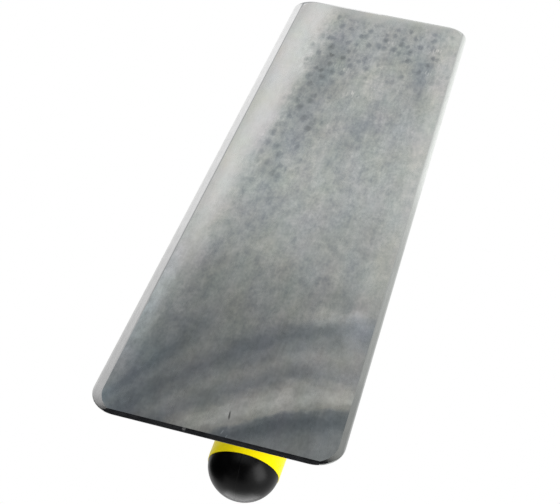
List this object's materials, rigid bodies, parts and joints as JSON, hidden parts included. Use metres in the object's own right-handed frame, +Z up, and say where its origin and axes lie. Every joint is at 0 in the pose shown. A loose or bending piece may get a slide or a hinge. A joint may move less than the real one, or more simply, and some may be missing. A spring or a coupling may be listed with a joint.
{
  "type": "finishing trowel",
  "caption": "Flat rectangular steel blade with bevelled edges and rounded corners, a riveted rib and gooseneck on its back, and a round two-colour handle parallel to it.",
  "frame": {"origin": "middle of the sole (working face of the blade)", "axes": "+X along the blade from the heel (open end of the handle) to the toe, +Z up from the sole to the handle, +Y across the blade"},
  "size_m": [0.356, 0.102, 0.0952],
  "materials": {
    "blade_steel": "satin, ground along the length",
    "cast_aluminium": "tumbled casting",
    "stud_steel": "peened",
    "zinc_steel": "bright zinc plate",
    "yellow_plastic": "moulded, glossy",
    "black_rubber": "soft moulded, satin"
  },
  "bodies": {
    "root": {"blade": "blade_steel", "mounting_casting": "cast_aluminium", "studs": "stud_steel", "tang_rod": "zinc_steel", "cross_pin": "stud_steel", "front_washer": "zinc_steel", "handle_core": "yellow_plastic", "palm_pad": "black_rubber", "end_washer": "zinc_steel", "end_nut": "zinc_steel", "end_cap": "black_rubber"}
  },
  "joints": []
}
